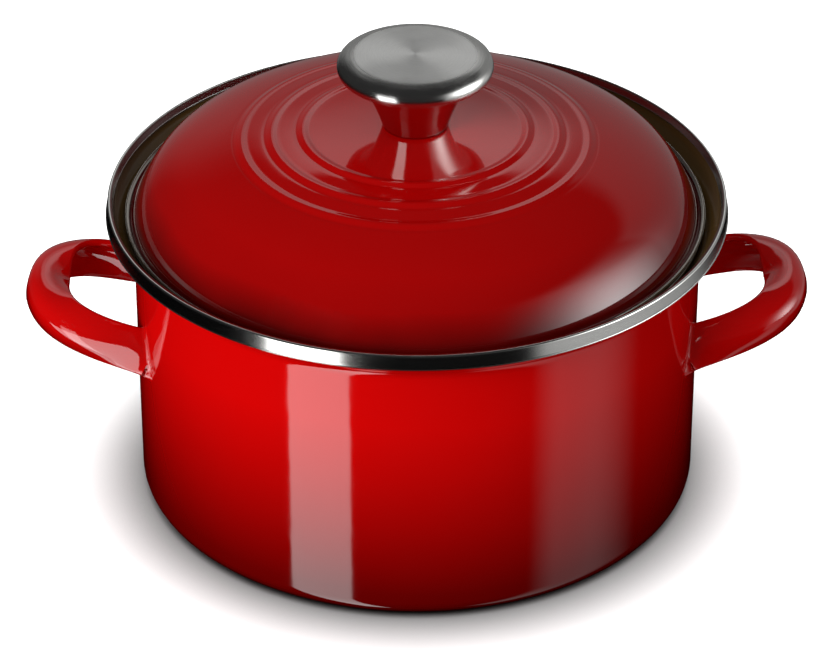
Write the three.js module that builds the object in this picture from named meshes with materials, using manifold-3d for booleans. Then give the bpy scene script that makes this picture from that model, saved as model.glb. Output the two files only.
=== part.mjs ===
// Enamelled steel stock pot with a lift-off lid, two loop handles and a stainless knob.
// Millimetres, +Z up. The origin is the centre of the base, in the plane the pot stands on.
// The handles point along +X and -X, and the front faces -Y.
import * as THREE from "three";
import { mergeVertices } from "three/addons/utils/BufferGeometryUtils.js";
import Module from "manifold-3d";

const wasm = await Module();
wasm.setup();

const SEGMENTS = 60; // facets round the pot and the lid
const KNOB_SEGMENTS = 36;
const SCREW_SEGMENTS = 24;
const GAP = 0.3; // clearance left between pieces that touch

// ---- dimensions of the pot -----------------------------------------------------------------
const SHEET = 1.4; // enamelled steel sheet of the pot and the lid
const WALL_BOTTOM_R = 109.3;
const WALL_TOP_R = 110;
const CORNER_R = 7; // outside radius between the base and the wall
const BASE_RECESS = 0.5; // the middle of the base is pressed up, so the pot stands on a ring
const BASE_RING_R = 84;
const BASE_STEP = 2; // width of the slope between the ring and the recessed middle
const FLARE_START_Z = 107.8;
const FLARE_R = 8; // inside radius of the bend that turns the wall outward
const FLARE_TURN = THREE.MathUtils.degToRad(50);
const SEAT_LENGTH = 5.9; // straight slope the lid rests on
const LIP_R = 6.5; // inside radius of the bend that turns the lip upright

// ---- steel band rolled over the lip ---------------------------------------------------------
const BAND_OUTER_R = 120.8;
const BAND_TOP_Z = 123.9;
const BAND_BOTTOM_Z = 118.2;
const BAND_SHEET = 0.7;
const BAND_INNER_BOTTOM_Z = 121.2;
const BAND_ROUNDING = 2.6; // of its outer top edge
const BAND_BEVEL = 0.8; // of its inner top edge

// ---- dimensions of the lid ------------------------------------------------------------------
const DOME_R = 106.2;
const DOME_FOOT_Z = 117.5; // level of the superellipse's widest place
const DOME_HEIGHT = 37;
const DOME_POWER = 2.35; // the dome is a superellipse, flat in the middle, up to its shoulder
const SHOULDER_R = 100.5;
const SHOULDER_SLOPE = 1.086; // fall per millimetre outwards at the shoulder
const SHOULDER_BEND = 0.06; // how fast the side steepens from the shoulder to the foot
const FOOT_R = 109.3; // where the side meets the flat flange
const RING_RADII = [43.2, 55.3, 67.1]; // three raised rings pressed into the lid
const RING_HALF_WIDTH = 2.9;
const RING_HEIGHT = 0.6;
const FLANGE_END_R = 111.1;
const FLANGE_TOP_Z = 117.3;
const SCREW_HOLE_R = 3.5;

// ---- steel band on the lid's edge -----------------------------------------------------------
const LID_BAND_OUTER_R = 112.2;
const LID_BAND_INNER_R = 109.9;
const LID_BAND_TOP_Z = 118.7;
const LID_BAND_BOTTOM_Z = 114.1;
const LID_BAND_SHEET = 0.8;
const LID_BAND_BEVEL = 0.9;

// ---- knob and its fixing --------------------------------------------------------------------
const LID_TOP_Z = DOME_FOOT_Z + DOME_HEIGHT;
const KNOB_FOOT_Z = LID_TOP_Z + GAP;
const KNOB_FOOT_R = 12.5;
const KNOB_WIDEST_R = 29.9;
const KNOB_WIDEST_Z = 179.5;
const KNOB_FACE_R = 23.7;
const KNOB_FACE_Z = 184.4;
const KNOB_TOP_Z = 185;
const KNOB_SHEET = 1.5;
const KNOB_WALL = 1.7; // the neck's wall, measured level
const SCREW_R = 2.9;
const SCREW_TOP_Z = KNOB_FOOT_Z + 11.8;
const SCREW_HEAD_R = 5.4;
const SCREW_HEAD_H = 3.2;
const SLOT_LENGTH = 6.4;
const SLOT_WIDTH = 1.3;
const SLOT_DEPTH = 1.2;
const THREAD_GAP = 0.4; // between the screw and the washers round it
const PLUG_H = 16;
const PLUG_HOLE_H = 12.5;
const FLAT_WASHER = { outerR: 9, thickness: 1.2 };
const LOCK_WASHER = { outerR: 5.2, thickness: 1, split: 0.8 };

// ---- handles --------------------------------------------------------------------------------
const HANDLE_T = 2.9; // thickness of the strap
const HANDLE_ROOT = [103, 31.9, 71]; // middle of the strap where it enters the wall
const HANDLE_LEG = [6.2, THREE.MathUtils.degToRad(12.6), THREE.MathUtils.degToRad(26.6)];
const HANDLE_END_X = 146.3;
const HANDLE_END_Z = 85.2;
const HANDLE_BLUNTNESS = 41.6; // how broad the loop's outer end is
const HANDLE_LEAN = [31.8, 9.4, 63.1]; // degrees the lower edge leans out: root, leg, outer end
const HANDLE_CROWN = [0.6, 8.3]; // height of the strap's arched section: root, outer end
const HANDLE_WIDTH = [15, 16.4]; // width across the section's edges: root, outer end

const red = new THREE.MeshStandardMaterial({ color: 0xb00505, roughness: 0.15 });
const steel = new THREE.MeshStandardMaterial({ color: 0xb9bcc0, metalness: 1, roughness: 0.3 });

const group = new THREE.Group();

function addMesh(name, geometry, material) {
  const mesh = new THREE.Mesh(geometry, material);
  mesh.name = name;
  group.add(mesh);
}

// Turns a closed outline of [radius, height] points about +Z. The outline runs anticlockwise
// when the radius is drawn to the right and the height upwards.
function revolve(outline, segments) {
  const touchesAxis = outline[0][0] === 0;
  const points = outline.map(([r, z]) => new THREE.Vector2(r, z));
  if (!touchesAxis) points.push(points[0].clone());
  const geometry = new THREE.LatheGeometry(points, segments);
  geometry.rotateX(Math.PI / 2);
  return geometry;
}

// Points of an arc. Angles in degrees, measured from the +radius direction.
function arc(centreR, centreZ, radius, from, to, steps) {
  const points = [];
  for (let i = 0; i <= steps; i++) {
    const a = THREE.MathUtils.degToRad(from + ((to - from) * i) / steps);
    points.push([centreR + radius * Math.cos(a), centreZ + radius * Math.sin(a)]);
  }
  return points;
}

function solidOf(geometry) {
  geometry.deleteAttribute("normal");
  geometry.deleteAttribute("uv");
  const merged = mergeVertices(geometry, 1e-3);
  return new wasm.Manifold(
    new wasm.Mesh({
      numProp: 3,
      vertProperties: merged.attributes.position.array,
      triVerts: new Uint32Array(merged.index.array),
    }),
  );
}

function geometryOf(solid) {
  const mesh = solid.getMesh();
  const geometry = new THREE.BufferGeometry();
  geometry.setAttribute("position", new THREE.BufferAttribute(mesh.vertProperties, 3));
  geometry.setIndex(new THREE.BufferAttribute(mesh.triVerts, 1));
  geometry.computeVertexNormals();
  return geometry;
}

// ---- pot body -------------------------------------------------------------------------------
// The flare: a bend outward, a straight seat and a bend back to upright. Offset 0 is the inside
// surface and offset SHEET the outside one.
function flare(offset) {
  const turn = FLARE_TURN;
  const insideR = WALL_TOP_R - SHEET;
  const first = arc(
    insideR + FLARE_R,
    FLARE_START_Z,
    FLARE_R - offset,
    180,
    180 - THREE.MathUtils.radToDeg(turn),
    3,
  );
  const seatStart = [
    insideR + FLARE_R * (1 - Math.cos(turn)),
    FLARE_START_Z + FLARE_R * Math.sin(turn),
  ];
  const seatEnd = [
    seatStart[0] + SEAT_LENGTH * Math.sin(turn),
    seatStart[1] + SEAT_LENGTH * Math.cos(turn),
  ];
  const lipCentre = [seatEnd[0] - LIP_R * Math.cos(turn), seatEnd[1] + LIP_R * Math.sin(turn)];
  const second = arc(
    lipCentre[0],
    lipCentre[1],
    LIP_R + offset,
    -THREE.MathUtils.radToDeg(turn),
    0,
    3,
  );
  return first.concat(second);
}

const bodyOutline = [
  [0, BASE_RECESS],
  [BASE_RING_R - BASE_STEP, BASE_RECESS],
  [BASE_RING_R, 0],
  ...arc(WALL_BOTTOM_R - CORNER_R, CORNER_R, CORNER_R, -90, 0, 4),
  ...flare(SHEET),
  ...flare(0).reverse(),
  ...arc(WALL_BOTTOM_R - CORNER_R, CORNER_R, CORNER_R - SHEET, 0, -90, 4),
  [BASE_RING_R, SHEET],
  [BASE_RING_R - BASE_STEP, BASE_RECESS + SHEET],
  [0, BASE_RECESS + SHEET],
];
addMesh("pot_body", revolve(bodyOutline, SEGMENTS), red);

const lipTop = flare(0).at(-1);
const lipInnerR = lipTop[0];
const lipOuterR = flare(SHEET).at(-1)[0];

// ---- steel band on the lip ------------------------------------------------------------------
// A channel folded over the lip: a long outer leg, a rounded crown and a short inner leg.
const bandInnerR = lipInnerR - GAP - BAND_SHEET;
const bandOutline = [
  [BAND_OUTER_R, BAND_BOTTOM_Z + 0.5],
  ...arc(BAND_OUTER_R - BAND_ROUNDING, BAND_TOP_Z - BAND_ROUNDING, BAND_ROUNDING, 0, 90, 4),
  [bandInnerR + BAND_BEVEL, BAND_TOP_Z],
  [bandInnerR, BAND_TOP_Z - BAND_BEVEL],
  [bandInnerR, BAND_INNER_BOTTOM_Z],
  [lipInnerR - GAP, BAND_INNER_BOTTOM_Z],
  [lipInnerR - GAP, lipTop[1] + GAP],
  [lipOuterR + GAP, lipTop[1] + GAP],
  [lipOuterR + GAP, BAND_BOTTOM_Z],
  [BAND_OUTER_R - 0.4, BAND_BOTTOM_Z],
];
addMesh("pot_rim_band", revolve(bandOutline, SEGMENTS), steel);

// ---- lid ------------------------------------------------------------------------------------
function ringRise(r) {
  let rise = 0;
  for (const centre of RING_RADII) {
    const t = (r - centre) / RING_HALF_WIDTH;
    if (Math.abs(t) < 1) rise += (RING_HEIGHT * (1 + Math.cos(Math.PI * t))) / 2;
  }
  return rise;
}

function domeHeight(r) {
  const share = 1 - (Math.min(r, SHOULDER_R) / DOME_R) ** DOME_POWER;
  const past = Math.max(r - SHOULDER_R, 0);
  const fall = SHOULDER_SLOPE * past + SHOULDER_BEND * past ** 2;
  return DOME_FOOT_Z + DOME_HEIGHT * share ** (1 / DOME_POWER) - fall + ringRise(r);
}

// Radii at which the dome is sampled: each ring gets its two feet and the edges of its crest.
const ringRadii = [];
for (const centre of RING_RADII) {
  for (const step of [-1, -0.4, 0.4, 1]) ringRadii.push(centre + step * RING_HALF_WIDTH);
}
const middleRadii = [SCREW_HOLE_R, 28];
const outerRadii = [78, 86, 92.5, 97, 101, 104, 106.8, FOOT_R];
const domeRadii = [...middleRadii, ...ringRadii, ...outerRadii];

const lidTop = domeRadii.map((r) => [r, domeHeight(r)]);
const flange = [
  [FOOT_R + 0.2, FLANGE_TOP_Z],
  [FLANGE_END_R, FLANGE_TOP_Z],
];
lidTop.push(...flange);

// The sheet's underside is a smooth dome: an outline moved inward along its normals.
function offsetOutline(points, distance) {
  return points.map((point, i) => {
    const before = points[Math.max(i - 1, 0)];
    const after = points[Math.min(i + 1, points.length - 1)];
    const dr = after[0] - before[0];
    const dz = after[1] - before[1];
    const length = Math.hypot(dr, dz);
    return [point[0] + (dz / length) * distance, point[1] - (dr / length) * distance];
  });
}
const underRadii = [...middleRadii, ...RING_RADII, ...outerRadii];
const lidUnder = offsetOutline(
  [...underRadii.map((r) => [r, domeHeight(r) - ringRise(r)]), ...flange],
  SHEET,
);
lidUnder[0] = [SCREW_HOLE_R, lidTop[0][1] - SHEET];
lidUnder[lidUnder.length - 1] = [FLANGE_END_R, FLANGE_TOP_Z - SHEET];
addMesh("lid_shell", revolve([...lidUnder, ...lidTop.reverse()], SEGMENTS), red);

// A channel closed on the lid's edge, open towards the middle.
const flangeTop = FLANGE_TOP_Z + GAP;
const flangeUnder = FLANGE_TOP_Z - SHEET - GAP;
const lidBandOutline = [
  [LID_BAND_INNER_R, LID_BAND_BOTTOM_Z + 0.5],
  [LID_BAND_INNER_R + 0.6, LID_BAND_BOTTOM_Z],
  [LID_BAND_OUTER_R - LID_BAND_BEVEL - 0.1, LID_BAND_BOTTOM_Z],
  [LID_BAND_OUTER_R, LID_BAND_BOTTOM_Z + LID_BAND_BEVEL + 0.1],
  [LID_BAND_OUTER_R, LID_BAND_TOP_Z - LID_BAND_BEVEL],
  [LID_BAND_OUTER_R - LID_BAND_BEVEL / 3, LID_BAND_TOP_Z - LID_BAND_BEVEL / 3],
  [LID_BAND_OUTER_R - LID_BAND_BEVEL, LID_BAND_TOP_Z],
  [LID_BAND_INNER_R + 0.4, LID_BAND_TOP_Z],
  [LID_BAND_INNER_R, LID_BAND_TOP_Z - 0.4],
  [LID_BAND_INNER_R, flangeTop],
  [LID_BAND_OUTER_R - LID_BAND_SHEET, flangeTop],
  [LID_BAND_OUTER_R - LID_BAND_SHEET, flangeUnder],
  [LID_BAND_INNER_R, flangeUnder],
];
addMesh("lid_rim_band", revolve(lidBandOutline, SEGMENTS), steel);

// ---- knob -----------------------------------------------------------------------------------
// The neck widens upwards along a parabola and runs into the underside of the disc.
function neckRadius(z) {
  const t = z - LID_TOP_Z;
  return KNOB_FOOT_R + 0.3 * t + 0.007 * t * t;
}
const neckHeights = [KNOB_FOOT_Z, 158, 162, 166, 170, 173];
const knobOuter = [
  ...neckHeights.map((z) => [neckRadius(z), z]),
  [23.6, 175.2],
  [26.6, 175.9],
  [28.6, 176.9],
  [29.6, 178.2],
  [KNOB_WIDEST_R, KNOB_WIDEST_Z],
  [29.7, 180.9],
  [28.9, 182.4],
  [27.2, 183.5],
  [25.2, 184.1],
  [KNOB_FACE_R, KNOB_FACE_Z],
  [12, KNOB_TOP_Z - 0.2],
  [0, KNOB_TOP_Z],
];
const knobInner = [
  [0, KNOB_TOP_Z - KNOB_SHEET],
  [KNOB_FACE_R - 1, KNOB_FACE_Z - KNOB_SHEET],
  [KNOB_WIDEST_R - 2.2, KNOB_WIDEST_Z + 0.8],
  [KNOB_WIDEST_R - 2.2, KNOB_WIDEST_Z - 0.8],
  [24.5, 177.4],
  [21.8, 176.6],
  ...neckHeights.map((z) => [neckRadius(z) - KNOB_WALL, z]).reverse(),
];
// The outline starts on the axis inside the knob and ends on the axis at its top.
addMesh("knob_shell", revolve([...knobInner, ...knobOuter], KNOB_SEGMENTS), steel);

// A threaded plug fills the neck and takes the screw.
const plugR = KNOB_FOOT_R - KNOB_WALL - GAP;
const plugOutline = [
  [0, KNOB_FOOT_Z + PLUG_HOLE_H],
  [SCREW_R + GAP, KNOB_FOOT_Z + PLUG_HOLE_H],
  [SCREW_R + GAP, KNOB_FOOT_Z],
  [plugR, KNOB_FOOT_Z],
  [plugR, KNOB_FOOT_Z + PLUG_H],
  [0, KNOB_FOOT_Z + PLUG_H],
];
addMesh("knob_insert", revolve(plugOutline, SCREW_SEGMENTS), steel);

// Under the lid: a flat washer, a lock washer and the screw.
const lidUnderZ = LID_TOP_Z - SHEET;
function washer(innerR, outerR, topZ, thickness) {
  return revolve(
    [
      [innerR, topZ - thickness],
      [outerR, topZ - thickness],
      [outerR, topZ],
      [innerR, topZ],
    ],
    SCREW_SEGMENTS,
  );
}
const flatWasherTop = lidUnderZ - GAP;
const lockWasherTop = flatWasherTop - FLAT_WASHER.thickness - GAP;
const screwHeadTop = lockWasherTop - LOCK_WASHER.thickness - GAP;
const washerHoleR = SCREW_R + THREAD_GAP;
const flatWasher = washer(washerHoleR, FLAT_WASHER.outerR, flatWasherTop, FLAT_WASHER.thickness);
addMesh("flat_washer", flatWasher, steel);

// The lock washer is a ring with one slanted split.
const lockRing = solidOf(
  washer(washerHoleR, LOCK_WASHER.outerR, lockWasherTop, LOCK_WASHER.thickness),
);
const splitReach = 4; // longer than the ring is wide and thick
const splitBox = new THREE.BoxGeometry(splitReach, LOCK_WASHER.split, splitReach);
splitBox.rotateX(THREE.MathUtils.degToRad(28));
splitBox.translate(
  (washerHoleR + LOCK_WASHER.outerR) / 2,
  0,
  lockWasherTop - LOCK_WASHER.thickness / 2,
);
addMesh("lock_washer", geometryOf(lockRing.subtract(solidOf(splitBox))), steel);

const screwOutline = [
  [0, screwHeadTop - SCREW_HEAD_H],
  [SCREW_HEAD_R - 2, screwHeadTop - SCREW_HEAD_H],
  [SCREW_HEAD_R - 0.6, screwHeadTop - SCREW_HEAD_H + 0.8],
  [SCREW_HEAD_R, screwHeadTop - SCREW_HEAD_H + 2],
  [SCREW_HEAD_R, screwHeadTop],
  [SCREW_R, screwHeadTop],
  [SCREW_R, SCREW_TOP_Z - 0.8],
  [SCREW_R - 0.7, SCREW_TOP_Z],
  [0, SCREW_TOP_Z],
];
const slotLong = new THREE.BoxGeometry(SLOT_LENGTH, SLOT_WIDTH, 2 * SLOT_DEPTH);
const slotCross = new THREE.BoxGeometry(SLOT_WIDTH, SLOT_LENGTH, 2 * SLOT_DEPTH);
slotLong.translate(0, 0, screwHeadTop - SCREW_HEAD_H);
slotCross.translate(0, 0, screwHeadTop - SCREW_HEAD_H);
const screw = solidOf(revolve(screwOutline, SCREW_SEGMENTS))
  .subtract(solidOf(slotLong))
  .subtract(solidOf(slotCross));
addMesh("knob_screw", geometryOf(screw), steel);

// ---- handles --------------------------------------------------------------------------------
// Each handle is a strap bent into a loop. Its section is a shallow arch at the two roots and
// nearly a half round at the outer end, where it also leans over to give the fingers a soft edge.
const blend = (a, b, t) => a + (b - a) * t * t * (3 - 2 * t);

function handleCurve() {
  const [x, y, z] = HANDLE_ROOT;
  const [run, splay, rise] = HANDLE_LEG;
  return new THREE.CubicBezierCurve3(
    new THREE.Vector3(x, y, z),
    new THREE.Vector3(
      x + run * Math.cos(splay),
      y - run * Math.sin(splay),
      z + run * Math.tan(rise),
    ),
    new THREE.Vector3(HANDLE_END_X, HANDLE_BLUNTNESS, HANDLE_END_Z),
    new THREE.Vector3(HANDLE_END_X, 0, HANDLE_END_Z),
  );
}

// The section's corners at share t of the way from a root to the middle of the loop. A negative
// share runs on inside the wall, so the cut that fits the strap to the wall is clean.
const ARCH_STEPS = 4;
const EDGE_SIDE = 0.7; // how much of its thickness the strap keeps at its rounded edges
function handleSection(curve, t) {
  const at = Math.max(t, 0);
  const along = curve.getTangent(at);
  const middle = curve.getPoint(at).addScaledVector(along, Math.min(t, 0));
  const out = new THREE.Vector3(-along.y, along.x, 0).normalize();
  const up = new THREE.Vector3().crossVectors(along, out).normalize();
  const [root, leg, end] = HANDLE_LEAN;
  const degrees = root * (1 - at) * (1 - 2 * at) + leg * 4 * at * (1 - at) + end * at * (2 * at - 1);
  const lean = THREE.MathUtils.degToRad(degrees);
  const down = new THREE.Vector3()
    .addScaledVector(up, -Math.cos(lean))
    .addScaledVector(out, Math.sin(lean));
  const face = new THREE.Vector3()
    .addScaledVector(out, Math.cos(lean))
    .addScaledVector(up, Math.sin(lean));
  const crown = blend(HANDLE_CROWN[0], HANDLE_CROWN[1], at);
  const width = blend(HANDLE_WIDTH[0], HANDLE_WIDTH[1], at);
  const place = (share, side, past) => {
    const slope = (4 * crown * (1 - 2 * share)) / width;
    const normal = face.clone().addScaledVector(down, -slope).normalize();
    const edge = down.clone().addScaledVector(face, slope).normalize();
    return middle
      .clone()
      .addScaledVector(down, (share - 0.5) * width)
      .addScaledVector(face, crown * (4 * share * (1 - share) - 0.5))
      .addScaledVector(normal, (side * HANDLE_T) / 2)
      .addScaledVector(edge, (past * HANDLE_T) / 2);
  };
  const outer = [];
  const inner = [];
  for (let i = 0; i <= ARCH_STEPS; i++) {
    const side = i % ARCH_STEPS === 0 ? EDGE_SIDE : 1;
    outer.push(place(i / ARCH_STEPS, side, 0));
    inner.push(place(i / ARCH_STEPS, -side, 0));
  }
  return [...outer, place(1, 0, 1), ...inner.reverse(), place(0, 0, -1)];
}

function handleSolid() {
  const curve = handleCurve();
  const shares = [-9, 0, 0.08, 0.18, 0.28, 0.38, 0.48, 0.57, 0.66, 0.75, 0.84, 0.92];
  const half = shares.map((t) => handleSection(curve, t));
  const flip = (corner) => new THREE.Vector3(corner.x, -corner.y, corner.z);
  const middle = handleSection(curve, 1).map((corner) => corner.setY(0));
  const sections = [...half, middle, ...half.map((s) => s.map(flip)).reverse()];
  const count = middle.length;
  const vertices = sections.flat().flatMap((v) => [v.x, v.y, v.z]);
  const faces = [];
  for (let i = 0; i + 1 < sections.length; i++) {
    for (let k = 0; k < count; k++) {
      const a = i * count + k;
      const b = i * count + ((k + 1) % count);
      faces.push(a, a + count, b, b, a + count, b + count);
    }
  }
  const last = (sections.length - 1) * count;
  for (let k = 1; k + 1 < count; k++) {
    faces.push(0, k, k + 1, last, last + k + 1, last + k);
  }
  const geometry = new THREE.BufferGeometry();
  geometry.setAttribute("position", new THREE.Float32BufferAttribute(vertices, 3));
  geometry.setIndex(faces);
  return solidOf(geometry);
}

// The wall with its clearance, as a solid core to cut the roots back to.
const wallCore = solidOf(
  revolve(
    [
      [0, 0],
      [WALL_BOTTOM_R + GAP, 0],
      [WALL_TOP_R + GAP, FLARE_START_Z],
      [0, FLARE_START_Z],
    ],
    SEGMENTS,
  ),
);
const rightHandle = handleSolid().subtract(wallCore);
addMesh("handle_right", geometryOf(rightHandle), red);
addMesh("handle_left", geometryOf(rightHandle.rotate([0, 0, 180])), red);

export default group;
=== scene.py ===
"""Studio picture of a red enamelled steel stock pot with a domed lid, two loop handles and a
steel knob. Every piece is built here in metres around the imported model, in the same frame:
the origin is the centre of the base, +Z is up, the handles point along +X and -X."""

import math

import bmesh
import bpy
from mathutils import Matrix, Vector


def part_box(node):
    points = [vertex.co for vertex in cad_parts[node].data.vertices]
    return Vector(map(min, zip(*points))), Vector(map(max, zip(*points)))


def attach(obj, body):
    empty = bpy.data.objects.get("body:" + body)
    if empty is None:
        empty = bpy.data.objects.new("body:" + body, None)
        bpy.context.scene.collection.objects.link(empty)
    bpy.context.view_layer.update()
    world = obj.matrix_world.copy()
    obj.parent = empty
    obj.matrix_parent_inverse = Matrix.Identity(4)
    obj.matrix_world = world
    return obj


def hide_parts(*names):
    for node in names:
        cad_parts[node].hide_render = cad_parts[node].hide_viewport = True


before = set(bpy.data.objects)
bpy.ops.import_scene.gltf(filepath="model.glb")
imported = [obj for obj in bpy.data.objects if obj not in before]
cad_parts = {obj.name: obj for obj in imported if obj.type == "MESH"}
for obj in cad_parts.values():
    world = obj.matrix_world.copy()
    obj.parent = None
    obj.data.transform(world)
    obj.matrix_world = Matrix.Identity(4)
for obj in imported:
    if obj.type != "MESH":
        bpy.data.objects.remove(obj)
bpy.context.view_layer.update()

MM = 0.001


def extent(node, axis, side):
    """One face of a node's box, in millimetres: axis 0 to 2, side 0 for low or 1 for high."""
    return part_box(node)[side][axis] / MM


# ---- driving sizes, in millimetres, taken from the frame ------------------------------------
CAD_GAP = 0.3  # clearance between solids that touch
BAND_R = extent("pot_rim_band", 1, 1)
BAND_TOP = extent("pot_rim_band", 2, 1)
BAND_BOTTOM = extent("pot_rim_band", 2, 0)
LID_BAND_R = extent("lid_rim_band", 1, 1)
LID_BAND_TOP = extent("lid_rim_band", 2, 1)
LID_BAND_BOTTOM = extent("lid_rim_band", 2, 0)
LID_TOP = extent("knob_shell", 2, 0) - CAD_GAP
KNOB_R = extent("knob_shell", 1, 1)
KNOB_TOP = extent("knob_shell", 2, 1)
HANDLE_REACH = extent("handle_right", 0, 1)

# ---- sizes of the sheet metal, in millimetres -----------------------------------------------
SHEET = 1.4
BAND_REACH = 10.8  # how far the rim's band stands out past the wall
WALL_TAPER = 0.7
WALL_R = BAND_R - BAND_REACH
WALL_FOOT_R = WALL_R - WALL_TAPER
FLARE_Z = 107.8  # where the wall starts to bend outward
LID_FOOT_R = LID_BAND_R - 2.9  # where the side of the dome meets the flange

LID_OFF_CENTRE = -0.7  # the lid lies loose in the rim, a little towards -X

ROUND = 192  # facets round the pot and the lid
KNOB_ROUND = 96
FIXING_ROUND = 48


# ---- mesh tools -----------------------------------------------------------------------------
def rounded(corners, step=12.0):
    """Turns corners (radius, height, rounding) into outline points with arcs at the roundings.
    Straight runs get a point close to each end, so that smooth shading stays on the arc. The
    first and the last corner stay sharp. A closed outline repeats its first corner at the end,
    and the caller drops it."""
    points = []
    for i, (r, z, rounding) in enumerate(corners):
        here = Vector((r, z))
        if rounding == 0 or i in (0, len(corners) - 1):
            points.append((r, z))
            continue
        before = (Vector(corners[i - 1][:2]) - here).normalized()
        after = (Vector(corners[i + 1][:2]) - here).normalized()
        half = before.angle(after) / 2
        reach = rounding / math.tan(half)
        middle = (before + after).normalized()
        centre = here + middle * (rounding / math.sin(half))
        start = here + before * reach - centre
        turn = math.pi - 2 * half
        sign = 1 if start.x * after.y - start.y * after.x > 0 else -1
        steps = max(2, round(math.degrees(turn) / step))
        for k in range(steps + 1):
            a = sign * turn * k / steps
            point = centre + Vector(
                (
                    start.x * math.cos(a) - start.y * math.sin(a),
                    start.x * math.sin(a) + start.y * math.cos(a),
                )
            )
            points.append((point.x, point.y))
    return supported(points)


def supported(points, near=0.35):
    """Adds points near both ends of every straight run longer than four times that distance."""
    made = [points[0]]
    for a, b in zip(points, points[1:]):
        run = Vector(b) - Vector(a)
        if run.length > 4 * near:
            along = run.normalized() * near
            made.append((a[0] + along.x, a[1] + along.y))
            made.append((b[0] - along.x, b[1] - along.y))
        made.append(b)
    return made


def smooth_through(points, steps=4):
    """A curve through the points after the first, which only gives its starting direction."""
    made = [points[1]]
    ends = points + [points[-1]]
    for before, a, b, after in zip(ends, ends[1:], ends[2:], ends[3:]):
        for k in range(1, steps + 1):
            t = k / steps
            spot = []
            for p, q, r, s in zip(before, a, b, after):
                bend = (2 * p - 5 * q + 4 * r - s) * t * t + (3 * q - 3 * r + s - p) * t**3
                spot.append((2 * q + (r - p) * t + bend) / 2)
            made.append(tuple(spot))
    return made


def new_piece(name, mesh, materials, body):
    """Links a finished mesh, smooth shaded, and fixes it to its body."""
    for material in materials:
        mesh.materials.append(material)
    for face in mesh.polygons:
        face.use_smooth = True
    piece = bpy.data.objects.new(name, mesh)
    bpy.context.scene.collection.objects.link(piece)
    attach(piece, body)
    return piece


def lathe(name, outline, materials, body, facets=ROUND, bands=None):
    """Turns a closed outline of (radius, height) points in millimetres about +Z. An outline
    that starts and ends on the axis stays open there. bands gives the material of each run.
    Pieces of the lid turn about the lid's own axis."""
    middle = LID_OFF_CENTRE if body == "lid" else 0.0
    made = bmesh.new()
    rings = []
    for r, z in outline:
        if r < 1e-6:
            rings.append([made.verts.new((middle * MM, 0, z * MM))])
            continue
        ring = []
        for k in range(facets):
            a = 2 * math.pi * k / facets
            x = middle + r * math.cos(a)
            ring.append(made.verts.new((x * MM, r * MM * math.sin(a), z * MM)))
        rings.append(ring)
    pairs = list(zip(rings, rings[1:]))
    if len(rings[0]) > 1:
        pairs.append((rings[-1], rings[0]))
    for i, (low, high) in enumerate(pairs):
        for k in range(facets):
            n = (k + 1) % facets
            around = [ring[j % len(ring)] for ring, j in ((low, k), (low, n), (high, n), (high, k))]
            corners = []
            for vertex in around:
                if vertex not in corners:
                    corners.append(vertex)
            if len(corners) > 2:
                face = made.faces.new(corners)
                face.material_index = bands[i] if bands else 0
    return new_piece(name, finished(made, name), materials, body)


def skin_rows(made, rows):
    """Faces between neighbouring closed rows of vertices, with a cap on both ends."""
    for low, high in zip(rows, rows[1:]):
        for k in range(len(low)):
            n = (k + 1) % len(low)
            made.faces.new((low[k], low[n], high[n], high[k]))
    made.faces.new(rows[0][::-1])
    made.faces.new(rows[-1])


def finished(made, name):
    """Turns a bmesh into a named mesh with its faces pointing outward."""
    bmesh.ops.recalc_face_normals(made, faces=made.faces)
    mesh = bpy.data.meshes.new(name)
    made.to_mesh(mesh)
    made.free()
    return mesh


# ---- materials ------------------------------------------------------------------------------
# Scales are in features a metre, depths in metres.
CLOUD_SCALE = 22
SMEAR_SCALE = 60
WAVE_SCALE = 75
WAVE_DEPTH = 4e-5
PEEL_SCALE = 420
PEEL_DEPTH = 1.5e-6
MARK_SCALE = 90
NOISE_LOW = 0.3  # most of a noise's values lie between these two
NOISE_HIGH = 0.7
GLASS_IOR = 1.52


def new_material(name):
    material = bpy.data.materials.new(name)
    material.use_nodes = True
    nodes = material.node_tree.nodes
    return material, nodes, material.node_tree.links, nodes["Principled BSDF"]


def object_axes(nodes, links):
    """Separated object coordinates, in metres of the shared frame."""
    where = nodes.new("ShaderNodeTexCoord")
    split = nodes.new("ShaderNodeSeparateXYZ")
    links.new(where.outputs["Object"], split.inputs[0])
    return where.outputs["Object"], split


def math_node(nodes, links, operation, a, b=None):
    node = nodes.new("ShaderNodeMath")
    node.operation = operation
    for socket, value in zip(node.inputs, (a, b)):
        if value is None:
            continue
        if isinstance(value, (int, float)):
            socket.default_value = value
        else:
            links.new(value, socket)
    return node.outputs[0]


def axis_distance(nodes, links, split):
    xx = math_node(nodes, links, "MULTIPLY", split.outputs[0], split.outputs[0])
    yy = math_node(nodes, links, "MULTIPLY", split.outputs[1], split.outputs[1])
    return math_node(nodes, links, "SQRT", math_node(nodes, links, "ADD", xx, yy))


def noise(nodes, links, vector, scale, detail=3.0, rough=0.5):
    node = nodes.new("ShaderNodeTexNoise")
    node.inputs["Scale"].default_value = scale
    node.inputs["Detail"].default_value = detail
    node.inputs["Roughness"].default_value = rough
    links.new(vector, node.inputs["Vector"])
    return node.outputs["Fac"]


def ramp(nodes, links, factor, stops):
    node = nodes.new("ShaderNodeValToRGB")
    node.color_ramp.interpolation = "LINEAR"
    elements = node.color_ramp.elements
    while len(elements) < len(stops):
        elements.new(0.5)
    for element, (position, colour) in zip(elements, stops):
        element.position = position
        element.color = (*colour, 1)
    links.new(factor, node.inputs[0])
    return node.outputs[0]


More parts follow.
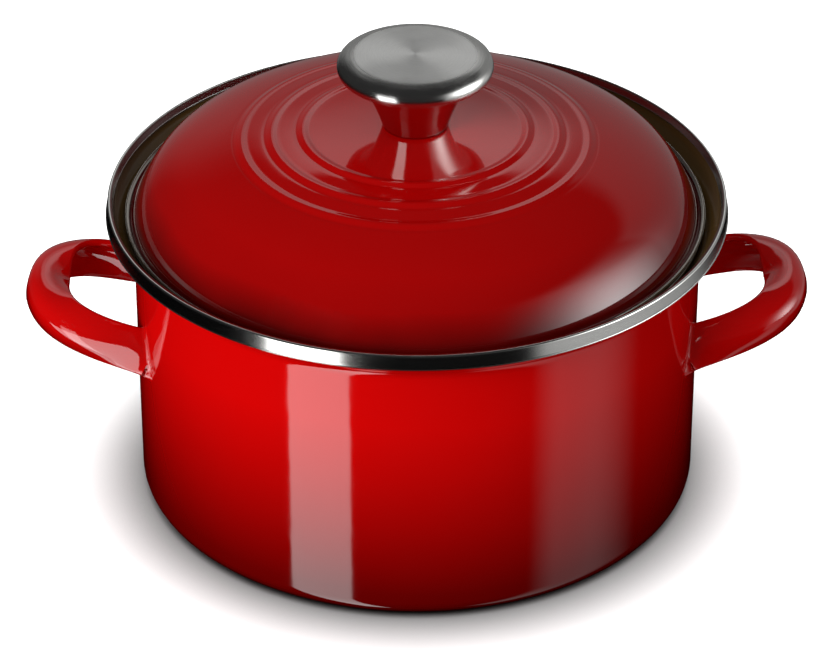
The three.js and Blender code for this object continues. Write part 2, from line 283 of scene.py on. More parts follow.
def remap(nodes, links, value, low, high, to_low=0.0, to_high=1.0):
    node = nodes.new("ShaderNodeMapRange")
    for socket, number in zip(node.inputs[1:5], (low, high, to_low, to_high)):
        socket.default_value = number
    links.new(value, node.inputs[0])
    return node.outputs[0]


def bump(nodes, links, shader, heights):
    """Chains bumps of (height socket, depth in metres) onto the shader's normal."""
    last = None
    for height, depth in heights:
        node = nodes.new("ShaderNodeBump")
        node.inputs["Distance"].default_value = depth
        links.new(height, node.inputs["Height"])
        if last:
            links.new(last, node.inputs["Normal"])
        last = node.outputs[0]
    links.new(last, shader.inputs["Normal"])


def enamel(name, stops, value, tint_spread, low, high, roughness=0.06, shine=0.5):
    """Glossy vitreous enamel. The colour runs with height or distance from the axis, between
    low and high in metres, and the glass has a faint waviness and orange peel."""
    material, nodes, links, shader = new_material(name)
    position, split = object_axes(nodes, links)
    along = split.outputs[2] if value == "height" else axis_distance(nodes, links, split)
    share = remap(nodes, links, along, low, high)
    cloud = noise(nodes, links, position, CLOUD_SCALE, 2)
    centred = math_node(nodes, links, "SUBTRACT", cloud, 0.5)
    drift = math_node(nodes, links, "MULTIPLY", centred, tint_spread)
    colour = ramp(nodes, links, math_node(nodes, links, "ADD", share, drift), stops)
    links.new(colour, shader.inputs["Base Color"])
    smear = noise(nodes, links, position, SMEAR_SCALE, 4)
    uneven = remap(nodes, links, smear, NOISE_LOW, NOISE_HIGH, roughness * 0.75, roughness * 1.25)
    links.new(uneven, shader.inputs["Roughness"])
    shader.inputs["Specular IOR Level"].default_value = shine
    shader.inputs["IOR"].default_value = GLASS_IOR
    wave = noise(nodes, links, position, WAVE_SCALE, 1)
    peel = noise(nodes, links, position, PEEL_SCALE, 2)
    bump(nodes, links, shader, [(wave, WAVE_DEPTH), (peel, PEEL_DEPTH)])
    return material


def steel(name, colour, roughness, anisotropic, streak, depth, contrast=0.2):
    """Stainless steel brushed round the axis: fine rings of varying shine, whose highlights
    spread across them. streak is the rings' scale and depth their height in metres."""
    material, nodes, links, shader = new_material(name)
    position, split = object_axes(nodes, links)
    distance = axis_distance(nodes, links, split)
    turn = math_node(nodes, links, "ARCTAN2", split.outputs[1], split.outputs[0])
    rings = nodes.new("ShaderNodeCombineXYZ")
    links.new(math_node(nodes, links, "MULTIPLY", distance, streak), rings.inputs[0])
    links.new(math_node(nodes, links, "MULTIPLY", turn, 3.0), rings.inputs[1])
    links.new(math_node(nodes, links, "MULTIPLY", split.outputs[2], streak), rings.inputs[2])
    lines = noise(nodes, links, rings.outputs[0], 1.0, 5, 0.65)
    marks = noise(nodes, links, position, MARK_SCALE, 4)
    dark = [c * (1 - contrast) for c in colour]
    tint = ramp(nodes, links, lines, [(0.3, dark), (0.72, colour)])
    links.new(tint, shader.inputs["Base Color"])
    shader.inputs["Metallic"].default_value = 1.0
    lines_part = math_node(nodes, links, "MULTIPLY", lines, 0.7)
    marks_part = math_node(nodes, links, "MULTIPLY", marks, 0.3)
    spread = math_node(nodes, links, "ADD", lines_part, marks_part)
    smooth, dull = roughness * (1 - contrast), roughness * (1 + contrast)
    uneven = remap(nodes, links, spread, NOISE_LOW, NOISE_HIGH, smooth, dull)
    links.new(uneven, shader.inputs["Roughness"])
    shader.inputs["Anisotropic"].default_value = anisotropic
    shader.inputs["Anisotropic Rotation"].default_value = 0.25
    tangent = nodes.new("ShaderNodeTangent")
    tangent.direction_type = "RADIAL"
    tangent.axis = "Z"
    links.new(tangent.outputs[0], shader.inputs["Tangent"])
    bump(nodes, links, shader, [(lines, depth)])
    return material


def red(level):
    return (level, 0.002 * level, 0.002 * level)


# The pot's red grows darker down its wall towards the base, and the lid's red grows darker out from
# its axis, most steeply at the foot of the dome.
POT_REDS = [
    (0.0, red(0.08)),
    (0.11, red(0.11)),
    (0.3, red(0.215)),
    (0.64, red(0.41)),
    (0.86, red(0.52)),
]
LID_REDS = [
    (0.2, red(0.36)),
    (0.6, red(0.31)),
    (0.83, red(0.29)),
    (0.93, red(0.24)),
    (0.985, red(0.1)),
    (1.0, red(0.06)),
]
HANDLE_REDS = [(0.0, red(0.4)), (1.0, red(0.43))]
BROWNS = [(0.0, (0.020, 0.011, 0.005)), (1.0, (0.085, 0.045, 0.012))]
pot_red = enamel("pot_red", POT_REDS, "height", 0.05, 0.0, 0.1)
lid_red = enamel("lid_red", LID_REDS, "distance", 0.05, 0.0, LID_FOOT_R * MM)
handle_red = enamel("handle_red", HANDLE_REDS, "distance", 0.08, 0.1, 0.15)
inside_brown = enamel("inside_brown", BROWNS, "height", 0.3, 0.0, 0.12, roughness=0.2, shine=0.25)

STEEL = (0.66, 0.66, 0.64)
WARM_STEEL = (0.6, 0.57, 0.52)
PALE_STEEL = (0.86, 0.86, 0.84)
GREY_STEEL = (0.55, 0.55, 0.54)
band_steel = steel("band_steel", STEEL, 0.17, 0.5, 1400, 3e-8, contrast=0.07)
bead_steel = steel("bead_steel", WARM_STEEL, 0.16, 0.4, 1400, 3e-8, contrast=0.07)
knob_neck = steel("knob_neck", STEEL, 0.11, 0.3, 2600, 2e-7, contrast=0.1)
knob_polished = steel("knob_polished", STEEL, 0.22, 0.85, 2600, 5e-7)
knob_brushed = steel("knob_brushed", PALE_STEEL, 0.36, 0.75, 5200, 1.5e-6)
fixing_steel = steel("fixing_steel", GREY_STEEL, 0.3, 0.3, 3000, 1e-6)


# ---- pot body -------------------------------------------------------------------------------
RECESS = 0.5  # the middle of the base is pressed up, so the pot stands on a ring
RECESS_R = 81.5
RING_R = 84.5  # inner radius of the ring the pot stands on
RING_ROUNDING = 3
FOOT_ROUNDING = 7  # between the base and the wall
INNER_FOOT_ROUNDING = 5.8
FLARE_TURN = math.radians(50)
FLARE_BEND = 8.0  # inside radius of the bend outward
SEAT = 5.9  # length of the slope the lid rests on
LIP_BEND = 6.5
LIP_TURN = math.radians(-20)  # the lip ends inside the steel band before it is quite upright


def arc(centre_r, centre_z, radius, start, end, steps):
    points = []
    for k in range(steps + 1):
        a = start + (end - start) * k / steps
        points.append((centre_r + radius * math.cos(a), centre_z + radius * math.sin(a)))
    return points


def flare(offset):
    """The bend outward, the straight seat of the lid and the bend back to upright, on the
    sheet's inside for offset 0 and on its outside for the sheet's thickness."""
    inside = WALL_R - SHEET
    first = arc(inside + FLARE_BEND, FLARE_Z, FLARE_BEND - offset, math.pi, math.pi - FLARE_TURN, 8)
    seat_r = inside + FLARE_BEND * (1 - math.cos(FLARE_TURN)) + SEAT * math.sin(FLARE_TURN)
    seat_z = FLARE_Z + FLARE_BEND * math.sin(FLARE_TURN) + SEAT * math.cos(FLARE_TURN)
    centre_r = seat_r - LIP_BEND * math.cos(FLARE_TURN)
    centre_z = seat_z + LIP_BEND * math.sin(FLARE_TURN)
    second = arc(centre_r, centre_z, LIP_BEND + offset, -FLARE_TURN, LIP_TURN, 8)
    return supported(first + second)


def make_pot_body():
    outer = rounded(
        [
            (0, RECESS, 0),
            (RECESS_R, RECESS, RING_ROUNDING),
            (RING_R, 0, RING_ROUNDING),
            (WALL_FOOT_R - 0.05, 0, FOOT_ROUNDING),
            (WALL_R, FLARE_Z, 0),
        ],
        6,
    )
    inner = rounded(
        [
            (WALL_R - SHEET, FLARE_Z, 0),
            (WALL_FOOT_R - SHEET, SHEET, INNER_FOOT_ROUNDING),
            (RING_R, SHEET, RING_ROUNDING),
            (RECESS_R, RECESS + SHEET, RING_ROUNDING),
            (0, RECESS + SHEET, 0),
        ],
        6,
    )
    outside = outer[:-1] + flare(SHEET)
    inside = flare(0)[::-1] + inner[1:]
    bands = [0] * (len(outside) - 1) + [1] * len(inside)
    enamels = [pot_red, inside_brown]
    piece = lathe("pot_body_enamel", outside + inside, enamels, "pot", bands=bands)
    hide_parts("pot_body")


BAND_LEAN = 1.3  # how much further in the band's outer face ends at the top
FOLD_GAP = 0.2  # between the lip's outside and the band
LIP_GAP = 0.3  # between the lip's end and the inside of the crown
INNER_LEG = 0.45  # from the lip's inside to the face of the band


def make_rim_band():
    """A channel folded over the lip. Its outer face leans inward, its crown is narrow."""
    slot_r = flare(SHEET)[-1][0] + FOLD_GAP
    inner_r = flare(0)[-1][0] - INNER_LEG
    ceiling = flare(0)[-1][1] + LIP_GAP
    outline = rounded(
        [
            (slot_r, ceiling - 0.5, 0),
            (slot_r, BAND_BOTTOM, 0.15),
            (BAND_R, BAND_BOTTOM, 0.3),
            (BAND_R - BAND_LEAN, BAND_TOP, 0.6),
            (inner_r, BAND_TOP, 0.5),
            (inner_r, ceiling, 0.2),
            (slot_r, ceiling, 0.1),
            (slot_r, ceiling - 0.5, 0),
        ],
        10,
    )[:-1]
    piece = lathe("pot_rim_band_steel", outline, [band_steel], "pot")
    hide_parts("pot_rim_band")


# ---- lid ------------------------------------------------------------------------------------
DOME_R = LID_BAND_R - 6.0
DOME_FOOT = LID_BAND_TOP - 1.2
DOME_POWER = 2.35
SHOULDER_R = 100.5  # from here the dome runs on in a parabola to its foot
SHOULDER_SLOPE = 1.086
SHOULDER_BEND = 0.06
RINGS = (43.2, 55.3, 67.1)  # crests of the three raised rings
RING_SHAPE = ((-2.9, 0.0), (0.0, 0.5), (2.7, -0.08), (4.1, 0.0))  # offset and rise
RING_BACK = 0.6  # share of a ring's rise that the underside has
RINGS_END = 76  # the rings have died out at this radius
SCREW_HOLE = 3.5


def ring_rise(r):
    for crest in RINGS:
        for (a, low), (b, high) in zip(RING_SHAPE, RING_SHAPE[1:]):
            if a <= r - crest <= b:
                t = (r - crest - a) / (b - a)
                return low + (high - low) * t * t * (3 - 2 * t)
    return 0.0


def dome(r):
    share = 1 - (min(r, SHOULDER_R) / DOME_R) ** DOME_POWER
    past = max(r - SHOULDER_R, 0)
    fall = SHOULDER_SLOPE * past + SHOULDER_BEND * past * past
    return DOME_FOOT + (LID_TOP - DOME_FOOT) * share ** (1 / DOME_POWER) - fall


def lid_radii():
    """Where the dome's outline has its points: close together on the rings, and out to the foot."""
    flat = [SCREW_HOLE + 0.3, 8, 14, 20, 26, 31, 35, 38]
    ringed = []
    start, end = RING_SHAPE[0][0], RING_SHAPE[-1][0]
    for crest in RINGS:
        ringed += [crest + start + (end - start) * k / 20 for k in range(21)]
        ringed += [crest + 5.2, crest + 6.8, crest + 8.3]
    ringed = sorted(r for r in ringed if r < RINGS_END)
    side_start = RINGS_END + 2
    side = [side_start + (SHOULDER_R - side_start) * k / 14 for k in range(15)]
    side += [SHOULDER_R + (LID_FOOT_R - SHOULDER_R) * k / 9 for k in range(1, 10)]
    return flat + ringed + side


def make_lid():
    radii = lid_radii()
    edge = LID_BAND_R - 1.1
    flange = DOME_FOOT - 0.2
    top = [(SCREW_HOLE, dome(SCREW_HOLE) - 0.3)]
    top += [(r, dome(r) + ring_rise(r)) for r in radii]
    top += [(LID_FOOT_R + 0.15, flange + 0.4), (LID_FOOT_R + 0.5, flange), (edge, flange)]
    under = [(SCREW_HOLE, dome(SCREW_HOLE) - SHEET)]
    for r in radii:
        slope = math.atan(dome(r - 0.5) - dome(r + 0.5))
        drop = SHEET * math.cos(slope) - RING_BACK * ring_rise(r)
        under.append((r - SHEET * math.sin(slope), dome(r) - drop))
    under += [(LID_FOOT_R - 0.6, flange + 0.3 - SHEET), (edge, flange - SHEET)]
    outline = under[::-1] + top
    bands = [1] * (len(under) - 1) + [0] * (len(outline) - len(under) + 1)
    piece = lathe("lid_enamel", outline, [lid_red, inside_brown], "lid", bands=bands)
    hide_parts("lid_shell")


def make_lid_band():
    """A narrow steel channel closed on the edge of the flange, open towards the middle."""
    inner = LID_BAND_R - 1.6
    slot_end = LID_BAND_R - 0.8
    upper = DOME_FOOT - 0.1
    lower = DOME_FOOT - 0.3 - SHEET
    outline = rounded(
        [
            (inner, upper, 0),
            (slot_end, upper, 0.1),
            (slot_end, lower, 0.1),
            (inner, lower, 0.1),
            (inner, LID_BAND_BOTTOM, 0.5),
            (LID_BAND_R, LID_BAND_BOTTOM, 0.7),
            (LID_BAND_R, LID_BAND_TOP, 0.75),
            (inner, LID_BAND_TOP, 0.75),
            (inner, upper, 0),
        ],
        12,
    )[:-1]
    piece = lathe("lid_rim_band_steel", outline, [bead_steel], "lid")
    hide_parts("lid_rim_band")


# ---- knob -----------------------------------------------------------------------------------
NECK_R = 12.5
NECK_SLOPE = 0.3  # how fast the neck widens at its foot
NECK_BEND = 0.007
NECK_HEIGHT = 18.5
NECK_WALL = 1.6

# The disc from the neck to the middle of its face: how far each point lies in from the widest
# radius and below the top.
DISC = (
    (6.3, 9.8),
    (3.3, 9.1),
    (1.3, 8.1),
    (0.3, 6.8),
    (0.0, 5.5),
    (0.2, 4.1),
    (1.0, 2.6),
    (2.7, 1.5),
    (4.7, 0.9),
    (6.2, 0.6),
    (7.6, 0.45),
    (14, 0.25),
    (KNOB_R, 0.05),
)
FACE_DEPTH = 0.65  # the brushed face is all that lies less than this below the top


def make_knob():
    foot = LID_TOP + 0.05
    rise = KNOB_TOP - foot
    neck = []
    for k in range(13):
        t = NECK_HEIGHT * k / 12
        neck.append((NECK_R + NECK_SLOPE * t + NECK_BEND * t * t, foot + t))
    disc = [(KNOB_R - inward, KNOB_TOP - below) for inward, below in DISC]
    outside = smooth_through(neck[-2:] + disc)
    inside = [
        (0, KNOB_TOP - 1.7),
        (21.5, KNOB_TOP - 2.4),
        (27, KNOB_TOP - 5.5),
        (26.5, foot + rise * 0.73),
        (22, foot + rise * 0.70),
    ]
    inside += [(r - NECK_WALL, z) for r, z in neck[::-1]]
    outline = inside + neck + outside[1:]
    past_neck = len(inside) + len(neck)
    face_from = past_neck + 1
    while outline[face_from][1] <= KNOB_TOP - FACE_DEPTH:
        face_from += 1
    bands = [2] * past_neck + [0] * (face_from - past_neck) + [1] * (len(outline) - face_from)
    finishes = [knob_polished, knob_brushed, knob_neck]
    piece = lathe("knob_steel", outline, finishes, "lid", KNOB_ROUND, bands)
    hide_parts("knob_shell")


make_pot_body()
make_rim_band()
make_lid()
make_lid_band()
make_knob()


# ---- handles --------------------------------------------------------------------------------
STRAP = 2.9  # thickness
ROOT = Vector((103.0, 31.9, 71.0))  # middle of the strap where it enters the wall
LEG_RUN = 6.2
LEG_SPLAY = math.radians(12.6)
LEG_RISE = math.radians(26.6)
END_X = HANDLE_REACH - 6.6
END_Z = 85.2
BLUNTNESS = 41.6  # how broad the loop's outer end is
LEANS = (31.8, 9.4, 63.1)  # degrees the lower edge leans out: root, leg, outer end
CROWNS = (0.6, 8.3)  # height of the strap's arched section: root, outer end
WIDTHS = (15.0, 16.4)  # across the section's edges: root, outer end
EDGE_ANGLES = (67.5, 45, 22.5, 0, -22.5, -45, -67.5)  # of the points round each edge
WELD = 1.0  # radius of the fillet where the strap meets the wall
SUNK = (-9, -6, -4, -2, 0)  # sections of the strap that run on straight into the wall


def blend(a, b, t):
    return a + (b - a) * t * t * (3 - 2 * t)


def strap_axis(t):
    """Point and direction of the strap's middle at share t from a root to the loop's end."""
    leg = Vector((math.cos(LEG_SPLAY), -math.sin(LEG_SPLAY), math.tan(LEG_RISE))) * LEG_RUN
    p = [
        ROOT,
        ROOT + leg,
        Vector((END_X, BLUNTNESS, END_Z)),
        Vector((END_X, 0, END_Z)),
    ]
    s = 1 - t
    point = p[0] * s**3 + p[1] * 3 * s * s * t + p[2] * 3 * s * t * t + p[3] * t**3
    along = (p[1] - p[0]) * 3 * s * s + (p[2] - p[1]) * 6 * s * t + (p[3] - p[2]) * 3 * t * t
    return point, along.normalized()


def strap_section(t, steps=16):
    """Corners of the strap's arched section, each with the direction out of the strap."""
    at = max(t, 0.0)
    middle, along = strap_axis(at)
    middle = middle + along * min(t, 0.0)
    out = Vector((-along.y, along.x, 0)).normalized()
    up = along.cross(out).normalized()
    root, leg, end = LEANS
    degrees = root * (1 - at) * (1 - 2 * at) + leg * 4 * at * (1 - at) + end * at * (2 * at - 1)
    lean = math.radians(degrees)
    down = out * math.sin(lean) - up * math.cos(lean)
    face = out * math.cos(lean) + up * math.sin(lean)
    crown = blend(*CROWNS, at)
    width = blend(*WIDTHS, at)

    def place(share, side, past):
        slope = 4 * crown * (1 - 2 * share) / width
        normal = (face - down * slope).normalized()
        edge = (down + face * slope).normalized()
        bulge = crown * (4 * share * (1 - share) - 0.5)
        outward = normal * side + edge * past
        return middle + down * (share - 0.5) * width + face * bulge + outward * STRAP / 2, outward

    edge_arc = [math.radians(a) for a in EDGE_ANGLES]
    corners = [place(k / steps, 1, 0) for k in range(steps + 1)]
    corners += [place(1, math.sin(a), math.cos(a)) for a in edge_arc]
    corners += [place(k / steps, -1, 0) for k in range(steps, -1, -1)]
    corners += [place(0, -math.sin(a), -math.cos(a)) for a in edge_arc]
    return corners


def weld_fillet(corner, outward):
    """Spreads the section where it comes within the fillet's radius of the wall, so that the
    strap runs into the wall in a smooth hollow, and ends it inside the wall's sheet."""
    wall = WALL_FOOT_R + (WALL_R - WALL_FOOT_R) * corner.z / FLARE_Z
    radial = Vector((corner.x, corner.y, 0)).normalized()
    gap = math.hypot(corner.x, corner.y) - wall
    if gap >= WELD:
        return corner
    depth = min(WELD - gap, WELD)
    spread = WELD - math.sqrt(WELD * WELD - depth * depth)
    away = outward - radial * outward.dot(radial)
    spot = corner + away.normalized() * spread
    short = wall - SHEET / 2 - math.hypot(spot.x, spot.y)
    if short > 0:
        spot += Vector((spot.x, spot.y, 0)).normalized() * short
    return spot


def make_handle(name, node, side):
    """One handle, on the side of +X for 1 and of -X for -1. Sections are close together in the
    first quarter of the way, where the strap leaves the wall."""
    close = 0.012
    quarter = 22 * close
    shares = list(SUNK) + [close * k for k in range(1, 22)]
    shares += [quarter + (1 - quarter) * k / 30 for k in range(1, 31)]
    made = bmesh.new()
    sections = []
    for t in shares:
        sections.append([weld_fillet(corner, outward) for corner, outward in strap_section(t)])
    mirrored = [[Vector((c.x, -c.y, c.z)) for c in section] for section in sections[-2::-1]]
    rows = []
    for section in sections + mirrored:
        rows.append([made.verts.new((c.x * side * MM, c.y * side * MM, c.z * MM)) for c in section])
    skin_rows(made, rows)
    piece = new_piece(name, finished(made, name), [handle_red], "pot")
    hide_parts(node)
    return piece


make_handle("handle_right_enamel", "handle_right", 1)
left_handle = make_handle("handle_left_enamel", "handle_left", -1)


# ---- fixing under the lid -------------------------------------------------------------------
SCREW_R = 2.9
THREAD_PITCH = 0.9
THREAD_DEPTH = 0.35
SCREW_HEAD_R = 5.4
HEAD_CLEARANCE = 0.6  # plain shank between the head and the thread
PLUG_CLEARANCE = 0.3  # between the screw and the plug round it
WASHER_HOLE_R = SCREW_R + 0.4
HOLE_CEILING = 3.5  # material left above the plug's blind hole
SLOT_HALF_LENGTH = 3.2
SLOT_HALF_WIDTH = 0.65
SLOT_DEPTH = 1.2
SLOT_TAPER = 0.8  # share of its size that the slot keeps at its bottom
SPLIT_ANGLE = 0.09  # half of the lock washer's split, in radians
SPRUNG = 0.2  # share of the lock washer's height that its ends are sprung apart


def heights(node):
    """A node's lowest and highest level, in millimetres."""
    return extent(node, 2, 0), extent(node, 2, 1)


def make_insert():
    """Threaded plug in the knob's neck, with a blind hole from below for the screw."""
    low, high = heights("knob_insert")
    radius = extent("knob_insert", 1, 1)
    hole = high - HOLE_CEILING
    hole_r = SCREW_R + PLUG_CLEARANCE
    outline = rounded(
        [
            (0, hole, 0),
            (hole_r, hole, 0.2),
            (hole_r, low, 0.3),
            (radius, low, 0.4),
            (radius, high, 0.8),
            (0, high, 0),
        ]
    )
    piece = lathe("insert_steel", outline, [fixing_steel], "lid", FIXING_ROUND)
    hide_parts("knob_insert")


def make_flat_washer():
    low, high = heights("flat_washer")
    radius = extent("flat_washer", 1, 1)
    outline = rounded(
        [
            (WASHER_HOLE_R, low, 0),
            (radius, low, 0.25),
            (radius, high, 0.25),
            (WASHER_HOLE_R, high, 0.2),
            (WASHER_HOLE_R, low, 0),
        ]
    )[:-1]
    piece = lathe("flat_washer_steel", outline, [fixing_steel], "lid", FIXING_ROUND)
    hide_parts("flat_washer")


def make_lock_washer():
    """A ring split once, its two ends sprung apart in height."""
    low, high = heights("lock_washer")
    radius = extent("lock_washer", 1, 1)
    middle = (low + high) / 2
    thick = (high - low) * (1 - SPRUNG)
    inner, outer = (WASHER_HOLE_R, WASHER_HOLE_R + 0.1), (radius, radius - 0.1)
    section = [
        (inner[0], -0.4),
        (inner[1], -0.5),
        (outer[1], -0.5),
        (outer[0], -0.4),
        (outer[0], 0.4),
        (outer[1], 0.5),
        (inner[1], 0.5),
        (inner[0], 0.4),
    ]
    made = bmesh.new()
    rows = []
    for k in range(FIXING_ROUND + 1):
        share = k / FIXING_ROUND
        a = SPLIT_ANGLE + (2 * math.pi - 2 * SPLIT_ANGLE) * share
        lift = (share - 0.5) * (high - low) * SPRUNG
        row = []
        for r, z in section:
            spot = (LID_OFF_CENTRE + r * math.cos(a), r * math.sin(a), middle + lift + z * thick)
            row.append(made.verts.new(Vector(spot) * MM))
        rows.append(row)
    skin_rows(made, rows)
    mesh = finished(made, "lock_washer_steel")
    piece = new_piece("lock_washer_steel", mesh, [fixing_steel], "lid")
    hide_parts("lock_washer")


def make_screw():
    """Pan-head screw: a threaded shank standing in the plug, its head under the washers."""
    low, high = heights("knob_screw")
    head_top = extent("lock_washer", 2, 0) - CAD_GAP
    thread_start = head_top + HEAD_CLEARANCE
    root_r = SCREW_R - THREAD_DEPTH
    shank = []
    for k in range(int((high - 1.2 - thread_start) / THREAD_PITCH)):
        z = thread_start + k * THREAD_PITCH
        shank += [(root_r, z), (SCREW_R, z + THREAD_PITCH * 0.45)]
        shank += [(SCREW_R, z + THREAD_PITCH * 0.55), (root_r, z + THREAD_PITCH * 0.98)]
    head = rounded(
        [
            (0, low, 0),
            (SCREW_HEAD_R - 2.2, low, 1.5),
            (SCREW_HEAD_R, low + 1.6, 1.2),
            (SCREW_HEAD_R, head_top, 0.2),
            (root_r, head_top, 0),
        ]
    )
    outline = head + shank + [(SCREW_R - 0.8, high - 0.3), (SCREW_R - 1.1, high), (0, high)]
    piece = lathe("screw_steel", outline, [fixing_steel], "lid", FIXING_ROUND)
    cut_cross(piece, low)
    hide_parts("knob_screw")


def cut_cross(piece, low):
    """Cuts the cross-shaped slot into the head from below."""
    made = bmesh.new()
    arms = ((SLOT_HALF_LENGTH, SLOT_HALF_WIDTH), (SLOT_HALF_WIDTH, SLOT_HALF_LENGTH))
    for half_x, half_y in arms:
        box = bmesh.ops.create_cube(made, size=2)
        for vertex in box["verts"]:
            x, y, z = vertex.co
            taper = 1.0 if z < 0 else SLOT_TAPER
            across = LID_OFF_CENTRE + x * half_x * taper
            vertex.co = Vector((across, y * half_y * taper, low + z * SLOT_DEPTH)) * MM
    cutter = bpy.data.objects.new("cross_cutter", finished(made, "cross_cutter"))
    bpy.context.scene.collection.objects.link(cutter)
    cut = piece.modifiers.new("cross", "BOOLEAN")
    cut.operation = "DIFFERENCE"
    cut.solver = "EXACT"
    cut.use_self = True
    cut.object = cutter
    evaluated = piece.evaluated_get(bpy.context.evaluated_depsgraph_get())
    mesh = bpy.data.meshes.new_from_object(evaluated)
    piece.modifiers.clear()
    piece.data = mesh
    bpy.data.objects.remove(cutter)


make_insert()
make_flat_washer()
make_lock_washer()
make_screw()


# ---- studio ---------------------------------------------------------------------------------
FLOOR_REACH = 1.3  # half of the floor's side, in metres
CONTACT_REACH = 0.028  # how far the shadow painted into the floor under the pot reaches, in metres
CONTACT_POWER = 1.7
MATT_LIGHT = 0.42  # strength of the even light on matt surfaces


def make_floor():
    mesh = bpy.data.meshes.new("floor")
    made = bmesh.new()
    signs = ((-1, -1), (1, -1), (1, 1), (-1, 1))
    made.faces.new([made.verts.new((x * FLOOR_REACH, y * FLOOR_REACH, 0)) for x, y in signs])
    made.to_mesh(mesh)
    made.free()
    floor = bpy.data.objects.new("floor", mesh)
    bpy.context.scene.collection.objects.link(floor)
    material, nodes, links, shader = new_material("floor_white_painted_shadow")
    # The shadow under the pot is painted: the floor's colour darkens towards near black where an
    # ambient occlusion measure finds the pot close by.
    closeness = nodes.new("ShaderNodeAmbientOcclusion")
    closeness.samples = 24
    closeness.inputs["Distance"].default_value = CONTACT_REACH
    unshadowed_share = math_node(nodes, links, "POWER", closeness.outputs["AO"], CONTACT_POWER)
    grain = noise(nodes, links, object_axes(nodes, links)[0], 30, 3)
    speckle = remap(nodes, links, grain, NOISE_LOW, NOISE_HIGH, -0.006, 0.006)
    level = math_node(nodes, links, "ADD", unshadowed_share, speckle)
    colour = ramp(nodes, links, level, [(0.0, (0.02, 0.02, 0.02)), (1.0, (0.93, 0.93, 0.93))])
    links.new(colour, shader.inputs["Base Color"])
    shader.inputs["Roughness"].default_value = 0.9
    shader.inputs["Specular IOR Level"].default_value = 0.0
    mesh.materials.append(material)
    floor.visible_glossy = False
    floor.visible_diffuse = False
    return floor


def make_light(name, place, size, watts, receivers, kept_out=(), aim=(0, 0, 0.08), mirrored=False):
    """A soft area light. It lights the receivers alone or, when there are none, everything but
    the pieces kept out. Only a mirrored light shows in shiny surfaces, and it does nothing else."""
    data = bpy.data.lights.new(name, "AREA")
    data.shape = "RECTANGLE"
    data.size, data.size_y = size
    data.energy = watts
    light = bpy.data.objects.new(name, data)
    bpy.context.scene.collection.objects.link(light)
    light.location = place
    light.rotation_mode = "QUATERNION"
    light.rotation_quaternion = (Vector(aim) - Vector(place)).to_track_quat("-Z", "Y")
    light.visible_glossy = mirrored
    light.visible_diffuse = not mirrored
    light.visible_camera = False
    linked = bpy.data.collections.new(name + "_receivers")
    for piece in receivers or kept_out:
        linked.objects.link(piece)
    light.light_linking.receiver_collection = linked
    if not receivers:
        for entry in linked.collection_objects:
            entry.light_linking.link_state = "EXCLUDE"


def window(nodes, links, value, low, high, low_soft, high_soft):
    """1 between low and high, with smooth edges of the given widths outside them."""
    shares = []
    for start, end in ((low - low_soft, low), (high + high_soft, high)):
        node = nodes.new("ShaderNodeMapRange")
        node.interpolation_type = "SMOOTHSTEP"
        for socket, number in zip(node.inputs[1:5], (start, end, 0.0, 1.0)):
            socket.default_value = number
        links.new(value, node.inputs[0])
        shares.append(node.outputs[0])
    return math_node(nodes, links, "MULTIPLY", shares[0], shares[1])


# What shiny surfaces see of the studio. Each card has its azimuth, in degrees from -Y towards
# +X, and its elevation as (low, high, softness of the low edge, softness of the high edge),
# and its strength.
CARDS = {
    "strip": ((-54.3, -28.8, 1.0, 1.0), (-75, 4, 4, 4), 3.5),
    "right_low": ((60, 74, 15, 30), (-75, -28, 4, 4), 0.5),
    "right_mid": ((46, 105, 8, 40), (-23, -6, 5, 4), 0.52),
    "rear_left": ((-181, -168, 1, 26), (-16, 14, 8, 22), 0.2),
    "rear_right": ((118, 181, 6, 1), (-16, 34, 8, 7), 0.24),
    "rear_high_left": ((-181, -172, 1, 8), (36, 38, 18, 2), 0.85),
    "haze": ((-181, 181, 1, 1), (-8, 91, 12, 1), 0.03),
    "rear_high_right": ((170, 181, 8, 1), (36, 38, 18, 2), 0.85),
}
# A softbox that fades out from its middle, and stops at a lower and an upper elevation.
SOFTBOX = {"azimuth": 80, "elevation": 6, "spread": 22, "strength": 8, "upward": (-4, 36, 3, 12)}


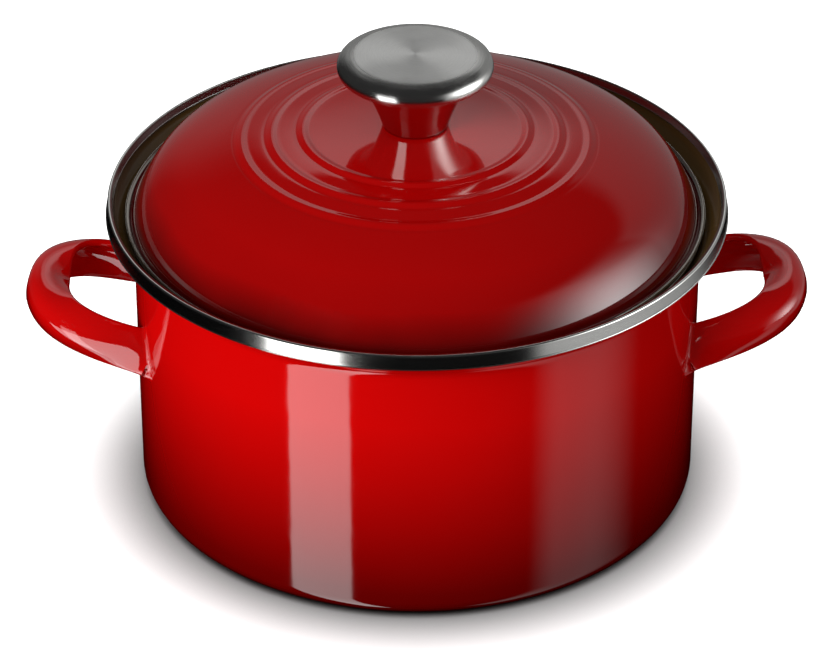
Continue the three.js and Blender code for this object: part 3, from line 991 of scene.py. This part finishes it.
def make_world():
    """White to the camera and even light on matt surfaces. Shiny surfaces see the cards."""
    world = bpy.data.worlds.new("studio")
    bpy.context.scene.world = world
    world.use_nodes = True
    nodes, links = world.node_tree.nodes, world.node_tree.links

    def calculate(operation, a, b=None):
        return math_node(nodes, links, operation, a, b)

    where = nodes.new("ShaderNodeTexCoord")
    split = nodes.new("ShaderNodeSeparateXYZ")
    links.new(where.outputs["Generated"], split.inputs[0])
    x, y, z = split.outputs
    azimuth = calculate("DEGREES", calculate("ARCTAN2", x, calculate("MULTIPLY", y, -1)))
    elevation = calculate("DEGREES", calculate("ARCSINE", z))
    sides = calculate("SUBTRACT", azimuth, SOFTBOX["azimuth"])
    sides = calculate("DIVIDE", sides, SOFTBOX["spread"])
    height = calculate("SUBTRACT", elevation, SOFTBOX["elevation"])
    height = calculate("DIVIDE", height, SOFTBOX["spread"])
    off = calculate("ADD", calculate("MULTIPLY", sides, sides), calculate("MULTIPLY", height, height))
    falloff = calculate("EXPONENT", calculate("MULTIPLY", off, -1))
    glow = calculate("MULTIPLY", falloff, SOFTBOX["strength"])
    total = calculate("MULTIPLY", glow, window(nodes, links, elevation, *SOFTBOX["upward"]))
    for name, (across, upward, strength) in CARDS.items():
        card = calculate(
            "MULTIPLY",
            window(nodes, links, azimuth, *across),
            window(nodes, links, elevation, *upward),
        )
        card.node.label = name
        total = calculate("ADD", total, calculate("MULTIPLY", card, strength))
    path = nodes.new("ShaderNodeLightPath")
    shiny = calculate("MULTIPLY", path.outputs["Is Glossy Ray"], calculate("ADD", total, -MATT_LIGHT))
    white = calculate("MULTIPLY", path.outputs["Is Camera Ray"], 1 - MATT_LIGHT)
    strength = calculate("ADD", calculate("ADD", shiny, white), MATT_LIGHT)
    links.new(strength, nodes["Background"].inputs["Strength"])
    nodes["Background"].inputs["Color"].default_value = (1, 1, 1, 1)


studio_floor = make_floor()
make_world()
make_light("key", (-1.4, -1.45, 0.97), (1.2, 1.2), 54, (), [studio_floor])
make_light("fill", (1.75, -0.4, 0.7), (1.2, 1.2), 7, (), [studio_floor])
make_light("floor_light", (0, 1.5, 1.5), (6, 6), 245, [studio_floor], aim=(0, 1.5, 0))
# The white table, mirrored in the near leg of the left handle.
table = (-0.21, -0.29, 0.003)
above = (-0.21, -0.29, 1)
make_light("table_glow", table, (0.5, 0.44), 3.1, [left_handle], aim=above, mirrored=True)


# ---- camera ---------------------------------------------------------------------------------
def make_camera():
    target = Vector((-0.0006, 0, 0.0606))
    elevation, azimuth, distance = math.radians(31.61), math.radians(-0.95), 1.8
    back = Vector(
        (
            math.sin(azimuth) * math.cos(elevation),
            -math.cos(azimuth) * math.cos(elevation),
            math.sin(elevation),
        )
    )
    data = bpy.data.cameras.new("camera")
    data.lens = 198.0
    data.sensor_width = 36.0
    data.clip_start = 0.05
    data.clip_end = 50.0
    camera = bpy.data.objects.new("camera", data)
    bpy.context.scene.collection.objects.link(camera)
    camera.location = target + back * distance
    camera.rotation_mode = "QUATERNION"
    camera.rotation_quaternion = (-back).to_track_quat("-Z", "Y")
    bpy.context.scene.camera = camera


make_camera()
bpy.context.scene.view_settings.view_transform = "Standard"
